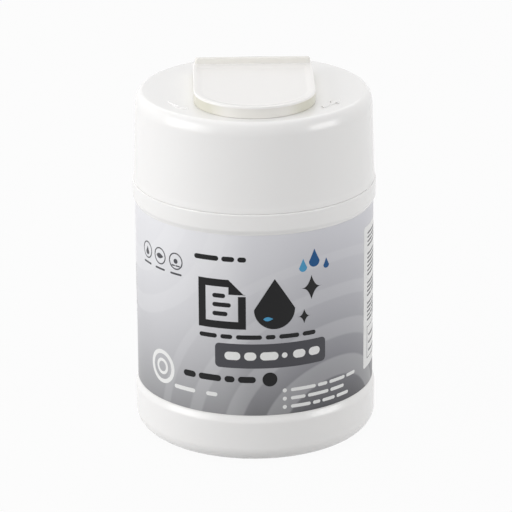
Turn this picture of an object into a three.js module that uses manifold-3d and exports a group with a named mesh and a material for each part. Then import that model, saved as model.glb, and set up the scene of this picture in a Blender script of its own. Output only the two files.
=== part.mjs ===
// A wipes canister: a round bottle with a label sleeve, a screw cap with a sealing ring,
// a hinged lid over the dispensing hole, and a roll of wipes inside.
// Millimetres, +Z up, origin at the centre of the base.

import * as THREE from "three";
import { mergeVertices } from "three/addons/utils/BufferGeometryUtils.js";
import Module from "manifold-3d";

const wasm = await Module();
wasm.setup();

// Driving dimensions: fineness of the round walls
const turnSides = 48;
const lidArcSides = 20;
const smallSides = 20;

// Driving dimensions: bottle and label
const panelRadius = 41.6;
const labelThickness = 0.25;
const labelPlay = 0.15;
const bandProud = 0.8;
const footHeight = 18.2;
const labelHeight = 66.6;
const labelEndPlay = 0.3;
const bandEase = 3.0;
const beadEase = 2.0;
const shoulderHeight = 7.4;
const shoulderRound = 0.8;
const footRoundWide = 6.6;
const footRoundHigh = 6.0;
const footRingWidth = 4.8;
const pushUp = 2.0;
const bottleWall = 1.5;
const neckWall = 1.8;
const neckRoot = 1.2;
const lipRound = 0.5;

// Driving dimensions: screw thread, right-handed
const threadPitch = 5.0;
const threadTurns = 1.25;
const threadDepth = 1.5;
const threadBase = 2.6;
const threadCrest = 1.0;
const threadRadialPlay = 0.45;
const threadFlankPlay = 0.3;
const threadRunOut = 24;
const threadBelowLip = 6.0;
const threadSunk = 0.5;

// Driving dimensions: cap
const capSetback = 0.4;
const capHeight = 31.7;
const partingGap = 0.3;
const capDraft = 0.8;
const capFlare = 0.2;
const capFlareHeight = 3.0;
const capWall = 1.5;
const capTopThickness = 1.6;
const capRimWide = 2.9;
const capRimHigh = 5.2;
const capInnerRound = 2.0;
const skirtEdge = 0.4;

// Driving dimensions: sealing ring under the cap
const sealThickness = 1.1;
const sealPlay = 0.3;
const sealOverhang = 0.6;

// Driving dimensions: dispensing well and its star-cut hole
const outletY = -10.0;
const wellRadius = 13.0;
const wellDepth = 2.6;
const wellWall = 1.3;
const floorThickness = 1.2;
const floorCrown = 0.8;
const outletRadius = 4.2;
const slitCount = 6;
const slitWidth = 1.0;
const slitReach = 9.0;

// Driving dimensions: flip lid
const lidHalfWidth = 21.0;
const lidFrontMargin = 4.1;
const lidRear = 17.3;
const lidHeight = 3.9;
const lidSeatGap = 0.3;
const lidPlate = 1.3;
const lidWall = 1.4;
const lidEdgeRound = 0.6;
const lidCorner = 1.0;
const dishHalfWidth = 18.6;
const dishHalfLength = 20.4;
const dishDepth = 0.5;
const ribHalfWidth = 20.0;
const ribHeight = 2.4;
const ribThickness = 1.6;
const ribRound = 0.4;
const heelSlope = 12;
const plugPlay = 0.35;
const plugWall = 1.0;
const plugShort = 0.6;

// Driving dimensions: snap hinge at the lid's rear edge
const barrelRadius = 1.4;
const pinRadius = 0.75;
const pinPlay = 0.1;
const clipMouth = 1.1;
const lugWidth = 4.0;
const lugThickness = 2.2;
const lugInset = 7.5;
const hingeSidePlay = 0.3;

// Driving dimensions: roll of wipes
const mouthPlay = 3.0;
const rollCore = 14.0;
const rollTurns = 7;
const rollTurnGap = 0.7;
const rollGroove = 1.2;
const rollHeadRoom = 16.8;
const rollSeatGap = 0.3;
const rollSides = 16;

// Levels and radii that follow from the dimensions above
const labelInner = panelRadius + labelPlay;
const labelOuter = labelInner + labelThickness;
const bandRadius = labelOuter + bandProud;
const labelBottom = footHeight;
const labelTop = labelBottom + labelHeight;
const partingZ = labelTop + shoulderHeight;
const skirtZ = partingZ + partingGap;
const capTopZ = skirtZ + capHeight;
const capRadius = bandRadius - capSetback;
const capTopRadius = capRadius - capFlare - capDraft;
const capFlatRadius = capTopRadius - capRimWide;
const capUnderZ = capTopZ - capTopThickness;
const neckRadius = capTopRadius - capWall - threadRadialPlay - threadDepth;
const neckBore = neckRadius - neckWall;
const sealTopZ = capUnderZ - sealPlay;
const sealBottomZ = sealTopZ - sealThickness;
const lipZ = sealBottomZ - sealPlay;
const threadEndZ = lipZ - threadBelowLip;
const threadStartZ = threadEndZ - threadPitch * threadTurns;
const threadDrop = (threadBase + threadCrest) / 2 + threadFlankPlay;
const lidBottomZ = capTopZ + lidSeatGap;
const lidTopZ = lidBottomZ + lidHeight;
const ribTopZ = lidTopZ + ribHeight;
const lidArcY = lidHalfWidth + lidFrontMargin - capFlatRadius;
const hingeY = lidRear - barrelRadius;
const hingeZ = lidBottomZ + barrelRadius;
const lugX = lidHalfWidth - lugInset;
const floorInsideZ = pushUp + bottleWall;
const rollBottomZ = floorInsideZ + rollSeatGap;
const rollTopZ = lipZ - rollHeadRoom;
const rollRadius = neckBore - mouthPlay;

const radians = THREE.MathUtils.degToRad;

// Points of an elliptical arc in a profile, angles in degrees from +r towards +z
function arc(centreR, centreZ, wide, high, from, to, steps) {
  return Array.from({ length: steps + 1 }, (_, i) => {
    const angle = radians(from + ((to - from) * i) / steps);
    return [centreR + wide * Math.cos(angle), centreZ + high * Math.sin(angle)];
  });
}

// Points of a smooth step between two radii, as a half cosine over its height
function ease(fromR, fromZ, toR, toZ, steps) {
  return Array.from({ length: steps + 1 }, (_, i) => {
    const part = i / steps;
    const blend = (1 - Math.cos(Math.PI * part)) / 2;
    return [fromR + (toR - fromR) * blend, fromZ + (toZ - fromZ) * part];
  });
}

// A profile of [radius, height] points turned about Z, listed with the material on its left
function revolve(profile, sides = turnSides) {
  const points = profile.map(([r, z]) => new THREE.Vector2(r, z));
  return new THREE.LatheGeometry(points, sides).rotateX(Math.PI / 2);
}

// A closed ring profile, turned about Z
function revolveRing(profile, sides = turnSides) {
  return revolve([...profile, profile[0]], sides);
}

function toSolid(geometry) {
  const bare = geometry.index ? geometry.toNonIndexed() : geometry.clone();
  bare.deleteAttribute("normal");
  bare.deleteAttribute("uv");
  const merged = mergeVertices(bare, 1e-4);
  return new wasm.Manifold(
    new wasm.Mesh({
      numProp: 3,
      vertProperties: new Float32Array(merged.attributes.position.array),
      triVerts: new Uint32Array(merged.index.array),
    }),
  );
}

function toGeometry(solid) {
  const mesh = solid.getMesh();
  return new THREE.BufferGeometry()
    .setAttribute("position", new THREE.BufferAttribute(mesh.vertProperties, 3))
    .setIndex(new THREE.BufferAttribute(mesh.triVerts, 1))
    .toNonIndexed();
}

// An outline in X and Y raised from one height to another
function prism(outline, fromZ, toZ) {
  const shape = new THREE.Shape(outline.map(([x, y]) => new THREE.Vector2(x, y)));
  const settings = { depth: toZ - fromZ, bevelEnabled: false };
  return new THREE.ExtrudeGeometry(shape, settings).translate(0, 0, fromZ);
}

// An outline in Y and Z carried along X between two places
function beam(outline, fromX, toX) {
  const turned = prism(outline, fromX, toX);
  const placed = new THREE.Matrix4().set(0, 0, 1, 0, 1, 0, 0, 0, 0, 1, 0, 0, 0, 0, 0, 1);
  return turned.applyMatrix4(placed);
}

function block(fromX, toX, fromY, toY, fromZ, toZ) {
  return new THREE.BoxGeometry(toX - fromX, toY - fromY, toZ - fromZ).translate(
    (fromX + toX) / 2,
    (fromY + toY) / 2,
    (fromZ + toZ) / 2,
  );
}

// Rings of points, all with the same count, skinned one to the next and closed at both ends
function loft(rings) {
  const count = rings[0].length;
  const positions = rings.flat(2);
  const index = [];
  for (let ring = 0; ring < rings.length - 1; ring++) {
    for (let i = 0; i < count; i++) {
      const next = (i + 1) % count;
      const a = ring * count + i;
      const b = ring * count + next;
      index.push(a, b, b + count, a, b + count, a + count);
    }
  }
  const last = (rings.length - 1) * count;
  for (let i = 1; i < count - 1; i++) {
    index.push(0, i + 1, i);
    index.push(last, last + i, last + i + 1);
  }
  return new THREE.BufferGeometry()
    .setAttribute("position", new THREE.Float32BufferAttribute(positions, 3))
    .setIndex(index);
}

// One helical thread ridge on a wall: outward on the neck, inward in the cap.
// Its section is a trapezium, and its height fades out over the run-out at both ends.
function threadRidge(wallRadius, startZ, outward) {
  const stations = Math.round(threadTurns * turnSides);
  const sign = outward ? 1 : -1;
  const rings = [];
  for (let i = 0; i <= stations; i++) {
    const turned = (360 * threadTurns * i) / stations;
    const fromEnd = Math.min(turned, 360 * threadTurns - turned);
    const rise = Math.min(1, fromEnd / threadRunOut);
    const crest = -threadSunk / 2 + (threadDepth + threadSunk / 2) * rise;
    const centreZ = startZ + (threadPitch * turned) / 360;
    const section = [
      [-threadSunk, -threadBase / 2],
      [crest, -threadCrest / 2],
      [crest, threadCrest / 2],
      [-threadSunk, threadBase / 2],
    ];
    if (!outward) section.reverse();
    rings.push(
      section.map(([out, up]) => {
        const r = wallRadius + sign * out;
        const angle = radians(turned);
        return [r * Math.cos(angle), r * Math.sin(angle), centreZ + up];
      }),
    );
  }
  return loft(rings.reverse());
}

// Bottle: foot, recessed label panel, shoulder bead and threaded neck, one moulded wall
function makeBottle() {
  const footFlat = bandRadius - footRoundWide;
  const footInner = footFlat - footRingWidth;
  const innerBand = bandRadius - bottleWall;
  const innerPanel = panelRadius - bottleWall;
  const outside = [
    [0, pushUp],
    [footInner - pushUp, pushUp],
    [footInner, 0],
    ...arc(footFlat, footRoundHigh, footRoundWide, footRoundHigh, -90, 0, 6),
    ...ease(bandRadius, labelBottom - labelEndPlay - bandEase, labelOuter, labelBottom - labelEndPlay, 3),
    [panelRadius, labelBottom - labelEndPlay],
    [panelRadius, labelTop + labelEndPlay],
    ...ease(labelOuter, labelTop + labelEndPlay, bandRadius, labelTop + labelEndPlay + beadEase, 3),
    ...arc(bandRadius - shoulderRound, partingZ - shoulderRound, shoulderRound, shoulderRound, 0, 90, 3),
    ...arc(neckRadius + neckRoot, partingZ + neckRoot, neckRoot, neckRoot, 270, 180, 2),
    ...arc(neckRadius - lipRound, lipZ - lipRound, lipRound, lipRound, 0, 90, 2),
  ];
  const inside = [
    [neckBore, lipZ],
    [neckBore, partingZ - bottleWall],
    [innerPanel, partingZ - bottleWall - (innerPanel - neckBore)],
    [innerPanel, labelBottom - labelEndPlay - bandEase],
    [innerBand, labelBottom - labelEndPlay - 2 * bandEase],
    ...arc(footFlat, footRoundHigh, footRoundWide - bottleWall, footRoundHigh - bottleWall, 0, -90, 4),
    [footInner - bottleWall / 2, bottleWall],
    [footInner - bottleWall / 2 - pushUp, floorInsideZ],
    [0, floorInsideZ],
  ];
  const wall = toSolid(revolve([...outside, ...inside]));
  return toGeometry(wall.add(toSolid(threadRidge(neckRadius, threadStartZ, true))));
}

// Label: a film sleeve that lies in the recessed panel
function makeLabel() {
  return revolveRing([
    [labelInner, labelBottom],
    [labelOuter, labelBottom],
    [labelOuter, labelTop],
    [labelInner, labelTop],
  ]);
}

function makeSeal() {
  return revolveRing([
    [neckBore - sealOverhang, sealBottomZ],
    [neckRadius, sealBottomZ],
    [neckRadius, sealTopZ],
    [neckBore - sealOverhang, sealTopZ],
  ]);
}

// The cap's outer wall: a small flare at the bottom edge, a slight draft and a rounded rim
function capOutside() {
  const rimZ = capTopZ - capRimHigh;
  return [
    ...arc(capRadius - skirtEdge, skirtZ + skirtEdge, skirtEdge, skirtEdge, -90, 0, 2),
    ...ease(capRadius - capFlare / 4, skirtZ + capFlareHeight / 2, capRadius - capFlare, skirtZ + capFlareHeight, 1),
    ...arc(capFlatRadius, rimZ, capRimWide, capRimHigh, 0, 90, 6),
  ];
}

function makeCapShell() {
  const innerTop = capTopRadius - capWall;
  const innerBottom = capRadius - capFlare - capWall;
  return toSolid(
    revolve([
      [innerBottom, skirtZ],
      ...capOutside(),
      [0, capTopZ],
      [0, capUnderZ],
      ...arc(innerTop - capInnerRound, capUnderZ - capInnerRound, capInnerRound, capInnerRound, 90, 0, 3),
      [innerBottom, skirtZ],
    ]),
  );
}

// The dispensing well: a round cup hung from the cap's top plate, with a crowned floor
function wellCup() {
  const floorZ = capTopZ - wellDepth;
  return toSolid(
    revolve(
      [
        [0, floorZ + floorCrown - floorThickness],
        [wellRadius, floorZ - floorThickness],
        [wellRadius + wellWall, floorZ],
        [wellRadius + wellWall, capUnderZ + capTopThickness / 2],
        [0, capUnderZ + capTopThickness / 2],
      ],
      2 * smallSides,
    ).translate(0, outletY, 0),
  );
}

function wellHollow() {
  const floorZ = capTopZ - wellDepth;
  return toSolid(
    revolve(
      [
        [0, floorZ + floorCrown],
        [wellRadius, floorZ],
        [wellRadius, capTopZ + 1],
        [0, capTopZ + 1],
      ],
      2 * smallSides,
    ).translate(0, outletY, 0),
  );
}

// The hole that a wipe is pulled through, with slits that let its rim give
function starHole() {
  const lowZ = capTopZ - wellDepth - 2 * floorThickness;
  const highZ = capTopZ;
  const round = revolve([[0, lowZ], [outletRadius, lowZ], [outletRadius, highZ], [0, highZ]], 2 * smallSides);
  let hole = toSolid(round);
  for (let i = 0; i < slitCount; i++) {
    const slit = block(0, slitReach, -slitWidth / 2, slitWidth / 2, lowZ, highZ);
    hole = hole.add(toSolid(slit.rotateZ((2 * Math.PI * (i + 0.5)) / slitCount)));
  }
  return hole.translate([0, outletY, 0]);
}

function circleYZ(radius) {
  return arc(hingeY, hingeZ, radius, radius, 0, 360, smallSides).slice(0, -1);
}

// One of the two lugs on the cap: a round eye on a foot, with a mouth that the pin snaps through
function hingeLug(centreX) {
  const from = centreX - lugWidth / 2;
  const to = centreX + lugWidth / 2;
  const halfFoot = lugThickness / 2;
  const eye = toSolid(beam(circleYZ(barrelRadius), from, to));
  const foot = toSolid(block(from, to, hingeY - halfFoot, hingeY + halfFoot, capTopZ - capTopThickness / 2, hingeZ));
  const bore = toSolid(beam(circleYZ(pinRadius + pinPlay), from - 1, to + 1));
  const mouth = toSolid(
    block(from - 1, to + 1, hingeY - clipMouth / 2, hingeY + clipMouth / 2, hingeZ, hingeZ + 2 * barrelRadius),
  );
  return eye.add(foot).subtract(bore).subtract(mouth);
}

function makeCap() {
  const innerAtThread = capTopRadius - capWall;
  const ridgeRadius = innerAtThread + threadSunk / 2;
  let cap = makeCapShell().add(wellCup()).subtract(wellHollow()).subtract(starHole());
  cap = cap.add(toSolid(threadRidge(ridgeRadius, threadStartZ - threadDrop, false)));
  for (const side of [-1, 1]) cap = cap.add(hingeLug(side * lugX));
  return toGeometry(cap);
}

// The lid's outline from above: straight sides, a half-round front and a straight rear edge
function lidOutline(inset, rearY) {
  const halfWidth = lidHalfWidth - inset;
  const corner = Math.max(lidCorner - inset, 0.1);
  const front = arc(0, lidArcY, halfWidth, halfWidth, 180, 360, lidArcSides);
  const right = arc(halfWidth - corner, rearY - corner, corner, corner, 0, 90, 2);
  const left = arc(corner - halfWidth, rearY - corner, corner, corner, 90, 180, 2);
  return [...front, ...right, ...left];
}

function lidBlank() {
  const ring = (inset, z) => lidOutline(inset, hingeY - inset).map(([x, y]) => [x, y, z]);
  const edge = arc(0, lidTopZ - lidEdgeRound, lidEdgeRound, lidEdgeRound, 0, 90, 3);
  return toSolid(
    loft([ring(0, lidBottomZ), ...edge.map(([reach, z]) => ring(lidEdgeRound - reach, z))]),
  );
}

// Where the heel's sloping back face lies at a height: it touches the hinge barrel
function heelBack(z) {
  const slope = radians(heelSlope);
  return hingeY + barrelRadius / Math.cos(slope) - (z - hingeZ) * Math.tan(slope);
}

// The rear edge of the lid: hinge barrel below, sloping back face that stops the lid when open
function lidHeel() {
  const back = arc(hingeY, hingeZ, barrelRadius, barrelRadius, -180, heelSlope, 12);
  const outline = [...back, [heelBack(lidTopZ), lidTopZ], [hingeY - barrelRadius, lidTopZ]];
  const bar = toSolid(beam(outline, -lidHalfWidth, lidHalfWidth));
  const plan = toSolid(prism(lidOutline(0, lidRear), lidBottomZ - 1, ribTopZ));
  return bar.intersect(plan);
}

function lidRib() {
  const backY = heelBack(ribTopZ);
  const frontY = backY - ribThickness;
  const lowZ = lidTopZ - lidPlate / 2;
  const outline = [
    [frontY, lowZ],
    [heelBack(lowZ), lowZ],
    ...arc(backY - ribRound, ribTopZ - ribRound, ribRound, ribRound, heelSlope, 90, 2),
    ...arc(frontY + ribRound, ribTopZ - ribRound, ribRound, ribRound, 90, 180, 2),
  ];
  const bar = toSolid(beam(outline, -ribHalfWidth, ribHalfWidth));
  const deep = (heelBack(lowZ) - frontY) / 2;
  const ends = [
    ...arc(ribHalfWidth - deep, frontY + deep, deep, deep, -90, 90, 6),
    ...arc(deep - ribHalfWidth, frontY + deep, deep, deep, 90, 270, 6),
  ];
  return bar.intersect(toSolid(prism(ends, lowZ - 1, ribTopZ + 1)));
}

// A shallow dish pressed into the lid's top: a cap of a large sphere, drawn out along Y
function lidDish() {
  const ball = (dishHalfWidth ** 2 + dishDepth ** 2) / (2 * dishDepth);
  const profile = [[0, -dishDepth]];
  for (let i = 1; i <= 5; i++) {
    const r = (dishHalfWidth * i) / 5;
    profile.push([r, ball - dishDepth - Math.sqrt(ball ** 2 - r ** 2)]);
  }
  profile.push([dishHalfWidth, 1], [0, 1]);
  const cut = revolve(profile, 2 * smallSides);
  return toSolid(cut.scale(1, dishHalfLength / dishHalfWidth, 1).translate(0, outletY, lidTopZ));
}

function lidHollow() {
  const outline = lidOutline(lidWall, hingeY - barrelRadius);
  return toSolid(prism(outline, lidBottomZ - 1, lidTopZ - lidPlate));
}

// The plug ring under the lid, which closes the dispensing well
function lidPlug() {
  const outer = wellRadius - plugPlay;
  const lowZ = capTopZ - wellDepth + plugShort;
  const highZ = lidTopZ - lidPlate / 2;
  const ring = [
    [outer - plugWall, lowZ],
    [outer - plugWall / 2, lowZ],
    [outer, lowZ + plugWall / 2],
    [outer, highZ],
    [outer - plugWall, highZ],
  ];
  return toSolid(revolveRing(ring, 2 * smallSides).translate(0, outletY, 0));
}

// The notch that leaves room for a lug from shut to fully open
function hingeNotch(centreX) {
  const from = centreX - lugWidth / 2 - hingeSidePlay;
  const to = centreX + lugWidth / 2 + hingeSidePlay;
  const reach = barrelRadius + hingeSidePlay;
  const round = toSolid(beam(circleYZ(reach / Math.cos(Math.PI / smallSides)), from, to));
  const behind = toSolid(block(from, to, hingeY, lidRear + 1, lidBottomZ - 1, hingeZ + reach));
  const below = toSolid(block(from, to, hingeY - reach, lidRear + 1, lidBottomZ - 1, hingeZ));
  return round.add(behind).add(below);
}

function makeLid() {
  let lid = lidBlank().add(lidHeel()).add(lidRib()).subtract(lidDish()).subtract(lidHollow());
  lid = lid.add(lidPlug());
  for (const side of [-1, 1]) {
    const half = lugWidth / 2 + hingeSidePlay + 0.5;
    const pin = toSolid(beam(circleYZ(pinRadius), side * lugX - half, side * lugX + half));
    lid = lid.subtract(hingeNotch(side * lugX)).add(pin);
  }
  return toGeometry(lid);
}

// Roll of wipes with an open core: one solid whose wound turns show at both ends
function makeRoll() {
  const turnPitch = (rollRadius - rollCore) / (rollTurns + 1);
  const steps = rollTurns * rollSides;
  const edge = (offset) =>
    Array.from({ length: steps + 1 }, (_, i) => {
      const angle = (2 * Math.PI * i) / rollSides;
      const r = rollCore + (turnPitch * i) / rollSides + offset;
      return [r * Math.cos(angle), r * Math.sin(angle)];
    });
  const outline = [...edge(turnPitch - rollTurnGap), ...edge(0).reverse()];
  const turns = toSolid(prism(outline, rollBottomZ, rollTopZ));
  const core = toSolid(
    revolveRing(
      [
        [rollCore + turnPitch / 2, rollBottomZ + rollGroove],
        [rollRadius - turnPitch, rollBottomZ + rollGroove],
        [rollRadius - turnPitch, rollTopZ - rollGroove],
        [rollCore + turnPitch / 2, rollTopZ - rollGroove],
      ],
      2 * rollSides,
    ),
  );
  return toGeometry(turns.add(core));
}

function finish(color, roughness) {
  return new THREE.MeshStandardMaterial({ color, roughness, metalness: 0 });
}

function named(name, geometry, material) {
  const mesh = new THREE.Mesh(geometry, material);
  mesh.name = name;
  return mesh;
}

const canister = new THREE.Group();
const body = new THREE.Group();
body.add(
  named("bottle", makeBottle(), finish("#f5f5f3", 0.3)),
  named("label_sleeve", makeLabel(), finish("#a6a6aa", 0.25)),
  named("wipes_roll", makeRoll(), finish("#f7f8f8", 0.9)),
);
const closure = new THREE.Group();
closure.add(
  named("sealing_ring", makeSeal(), finish("#eceeee", 0.8)),
  named("screw_cap", makeCap(), finish("#f6f6f4", 0.3)),
  named("flip_lid", makeLid(), finish("#f6f4f3", 0.3)),
);
canister.add(body, closure);

export default canister;
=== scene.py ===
import math

import bpy
import numpy as np
from mathutils import Matrix, Vector


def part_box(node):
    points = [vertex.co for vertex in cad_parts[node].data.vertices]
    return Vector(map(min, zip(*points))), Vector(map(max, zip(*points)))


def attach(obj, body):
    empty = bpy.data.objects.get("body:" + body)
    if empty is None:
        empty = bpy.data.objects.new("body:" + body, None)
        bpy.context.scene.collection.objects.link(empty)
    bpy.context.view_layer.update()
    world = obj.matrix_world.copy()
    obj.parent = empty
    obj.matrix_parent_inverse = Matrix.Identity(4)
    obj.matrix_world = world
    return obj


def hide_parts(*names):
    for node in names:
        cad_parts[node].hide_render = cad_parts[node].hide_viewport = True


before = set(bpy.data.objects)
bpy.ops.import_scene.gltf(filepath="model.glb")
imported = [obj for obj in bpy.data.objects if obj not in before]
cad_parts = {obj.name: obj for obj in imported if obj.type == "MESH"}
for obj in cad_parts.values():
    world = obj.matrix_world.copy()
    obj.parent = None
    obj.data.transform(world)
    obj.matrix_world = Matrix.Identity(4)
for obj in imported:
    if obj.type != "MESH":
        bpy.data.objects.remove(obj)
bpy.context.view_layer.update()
print("frame loaded:", ", ".join(sorted(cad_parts)))

mm = 0.001  # every length below is in millimetres and turned to metres in one place, makePiece
around = 240  # columns round every turned piece


def nodeBox(name):
    # lowest and highest corners of a frame node, in millimetres
    low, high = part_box(name)
    return np.array(low) / mm, np.array(high) / mm


bottleHigh, lidHigh = nodeBox("bottle")[1], nodeBox("flip_lid")[1]
labelLow, labelHigh = nodeBox("label_sleeve")
capLow, capHigh = nodeBox("screw_cap")
sealLow, sealHigh = nodeBox("sealing_ring")
rollLow, rollHigh = nodeBox("wipes_roll")


# colours, nodes and meshes
def hexColour(code):
    # sRGB hex to linear light, with the standard curve
    parts = [int(code[i:i + 2], 16) / 255 for i in (1, 3, 5)]
    linear = [c / 12.92 if c <= 0.04045 else ((c + 0.055) / 1.055) ** 2.4 for c in parts]
    return (*linear, 1.0)


def addNode(tree, kind, settings=None, links=None, **attributes):
    node = tree.nodes.new("ShaderNode" + kind)
    for key, value in attributes.items():
        setattr(node, key, value)
    for key, value in (settings or {}).items():
        node.inputs[key].default_value = value
    for key, source in (links or {}).items():
        tree.links.new(source, node.inputs[key])
    return node


def newMaterial(name):
    material = bpy.data.materials.new(name)
    material.use_nodes = True
    material.node_tree.nodes.clear()
    return material, material.node_tree


def addObject(name, data):
    thing = bpy.data.objects.new(name, data)
    bpy.context.scene.collection.objects.link(thing)
    return thing


def makePiece(name, vertices, faces, material, body, slot, replaces=(), sharpAngle=40):
    mesh = bpy.data.meshes.new(name)
    mesh.from_pydata((np.asarray(vertices, float) * mm).tolist(), [], faces)
    mesh.validate()
    mesh.materials.append(material)
    mesh.shade_smooth()
    mesh.set_sharp_from_angle(angle=math.radians(sharpAngle))
    piece = addObject(name, mesh)
    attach(piece, body)
    if replaces:
        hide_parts(*replaces)
    return piece


def joinParts(*parts):
    # several vertex and face lists become one, with the later faces renumbered
    vertices, faces, start = [], [], 0
    for partVertices, partFaces in parts:
        partVertices = np.asarray(partVertices, float).reshape(-1, 3)
        vertices.append(partVertices)
        faces += [tuple(start + i for i in face) for face in partFaces]
        start += len(partVertices)
    return np.concatenate(vertices), faces


def skinLoops(loops, closed=False):
    # Skins loops of points, an array of loops x points x 3, one to the next.
    # Quad (i, j) joins points j and j + 1 of loops i and i + 1. Closed joins the last loop to the first,
    # and otherwise a fan about its middle point closes each end.
    loops = np.asarray(loops, float)
    count, width = loops.shape[:2]
    rows = np.arange(count if closed else count - 1)
    i, j = np.meshgrid(rows, np.arange(width), indexing="ij")
    nextI, nextJ = (i + 1) % count, (j + 1) % width
    quads = np.stack([i * width + j, i * width + nextJ, nextI * width + nextJ, nextI * width + j], -1)
    faces = [tuple(q) for q in quads.reshape(-1, 4).tolist()]
    vertices = loops.reshape(-1, 3)
    if not closed:
        first, last = len(vertices), len(vertices) + 1
        end = (count - 1) * width
        vertices = np.concatenate([vertices, [loops[0].mean(0), loops[-1].mean(0)]])
        faces += [(first, (k + 1) % width, k) for k in range(width)]
        faces += [(last, end + k, end + (k + 1) % width) for k in range(width)]
    return vertices, faces


def smooth(part):
    # a smooth step: 3 times the square less 2 times the cube
    return part * part * (3 - 2 * part)


def halfChord(radius, across):
    # how far a circle's edge lies from its middle line at a distance across
    return np.sqrt(np.maximum(radius**2 - across**2, 0))


def atHeight(points, z):
    return np.concatenate([points, np.full((len(points), 1), z)], 1)


def arc(centreR, centreZ, wide, high, fromDeg, toDeg, steps):
    # points of an ellipse arc: centre plus wide cos and high sin of the angle
    angle = np.radians(np.linspace(fromDeg, toDeg, steps + 1))
    return np.stack([centreR + wide * np.cos(angle), centreZ + high * np.sin(angle)], 1)


def ease(fromR, fromZ, toR, toZ, steps):
    # a half cosine from one radius to another, evenly spaced in height
    part = np.linspace(0, 1, steps + 1)
    blend = (1 - np.cos(np.pi * part)) / 2
    return np.stack([fromR + (toR - fromR) * blend, fromZ + (toZ - fromZ) * part], 1)


def holdEdges(path, reach=0.12):
    # Puts a point near both ends of each long straight stretch of a path, so that smooth
    # shading turns only at the rounding and the stretch itself stays flat.
    path = np.concatenate([np.atleast_2d(p) for p in path])
    out = [path[0]]
    for a, b in zip(path[:-1], path[1:]):
        length = np.hypot(*(b - a))
        if length > 6 * reach:
            out += [a + (b - a) * reach / length, b + (a - b) * reach / length]
        if length > 1e-6:
            out.append(b)
    return np.array(out)


def turn(path, columns=around, centre=(0, 0)):
    # loops of a turned surface: each path point (r, z) at every angle, x = r cos a, y = r sin a
    angle = 2 * np.pi * np.arange(columns) / columns
    r, z = path[:, :1], path[:, 1:]
    return np.stack([centre[0] + r * np.cos(angle), centre[1] + r * np.sin(angle), z + 0 * angle], -1)


def helixRidge(wallRadius, startZ, outward, thread):
    # One screw ridge: a rounded trapezium section carried along a helix, z = start + pitch x turns,
    # and sunk into the wall over the run-out at both ends.
    turned = np.linspace(0, 360 * thread["turns"], int(96 * thread["turns"]))
    rise = np.clip(np.minimum(turned, turned[-1] - turned) / thread["runOut"], 0, 1)
    across = np.array([-0.5, -0.34, -0.24, -0.12, 0.12, 0.24, 0.34, 0.5]) * thread["base"]
    height = np.array([0, 0.7, 0.94, 1, 1, 0.94, 0.7, 0])
    out = -thread["sunk"] + (thread["depth"] + thread["sunk"]) * smooth(rise)[:, None] * height
    r = wallRadius + (out if outward else -out)
    angle = np.radians(turned)[:, None]
    z = startZ + thread["pitch"] * turned[:, None] / 360 + across
    loops = np.stack([r * np.cos(angle), r * np.sin(angle), z], -1)
    return skinLoops(loops[:, ::-1] if outward else loops)


# plastics: polypropylene moulded in a polished tool, so smooth, softly glossy and faintly milky
plastic = {
    "roughness": 0.22,
    "roughnessPlay": 0.015,
    "ior": 1.49,
    "milkiness": 0.06,
    "milkDepth": 0.0012,
    "waviness": 0.02,
    "grain": 0.05,
}


def mouldedPolypropylene(name, colour, paintedWallShade=None):
    p = plastic
    material, tree = newMaterial(name)
    place = addNode(tree, "TexCoord").outputs["Object"]
    # slow unevenness of a moulded wall, about 9 mm across and a few hundredths deep
    slow = addNode(tree, "TexNoise", {"Scale": 110.0, "Detail": 1.0}, {"Vector": place}).outputs["Fac"]
    # fine grain of the tool, really about 0.1 mm and drawn at 0.5 mm so that it shows
    fine = addNode(tree, "TexNoise", {"Scale": 2000.0, "Detail": 2.0}, {"Vector": place}).outputs["Fac"]
    wave = addNode(tree, "Bump", {"Strength": p["waviness"], "Distance": 0.00012}, {"Height": slow})
    links = {"Height": fine, "Normal": wave.outputs["Normal"]}
    grain = addNode(tree, "Bump", {"Strength": p["grain"], "Distance": 0.00002}, links)
    ends = {"To Min": p["roughness"] - p["roughnessPlay"], "To Max": p["roughness"] + p["roughnessPlay"]}
    rough = addNode(tree, "MapRange", ends, {"Value": slow})
    shader = addNode(
        tree,
        "BsdfPrincipled",
        {
            "Base Color": hexColour(colour),
            "IOR": p["ior"],
            "Subsurface Weight": p["milkiness"],
            "Subsurface Radius": (1.0, 0.95, 0.9),
            "Subsurface Scale": p["milkDepth"],
        },
        {"Roughness": rough.outputs["Result"], "Normal": grain.outputs["Normal"]},
    )
    if paintedWallShade:
        split = addNode(tree, "SeparateXYZ", links={"Vector": place})
        sideways = addNode(tree, "Math", links={0: split.outputs["X"]}, operation="ABSOLUTE")

        def smoothStep(source, ends, low=0.0, high=1.0):
            span = {"From Min": ends[0] * mm, "From Max": ends[1] * mm, "To Min": low, "To Max": high}
            step = addNode(tree, "MapRange", span, {"Value": source}, interpolation_type="SMOOTHSTEP")
            return step.outputs[0]

        # painted shade: lower down, towards its sides, the wall takes a darker creamy colour for the shade
        # its corners fall in
        corner = smoothStep(sideways.outputs[0], paintedWallShade["across"], low=paintedWallShade["middleShadeShare"])
        below = smoothStep(split.outputs["Z"], paintedWallShade["height"])
        low = addNode(tree, "Math", links={0: corner, 1: below}, operation="MULTIPLY")
        # painted shade: the rib above the lid's top takes some of that darker colour too, for its front face
        # in shade
        rib = smoothStep(split.outputs["Z"], paintedWallShade["rib"], high=paintedWallShade["ribShadeShare"])
        share = addNode(tree, "Math", links={0: low.outputs[0], 1: rib}, operation="MAXIMUM")
        colours = {"A": hexColour(colour), "B": hexColour(paintedWallShade["colour"])}
        tone = addNode(tree, "Mix", colours, {"Factor": share.outputs[0]}, data_type="RGBA")
        tree.links.new(tone.outputs["Result"], shader.inputs["Base Color"])
    addNode(tree, "OutputMaterial", links={"Surface": shader.outputs["BSDF"]})
    return material


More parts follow.
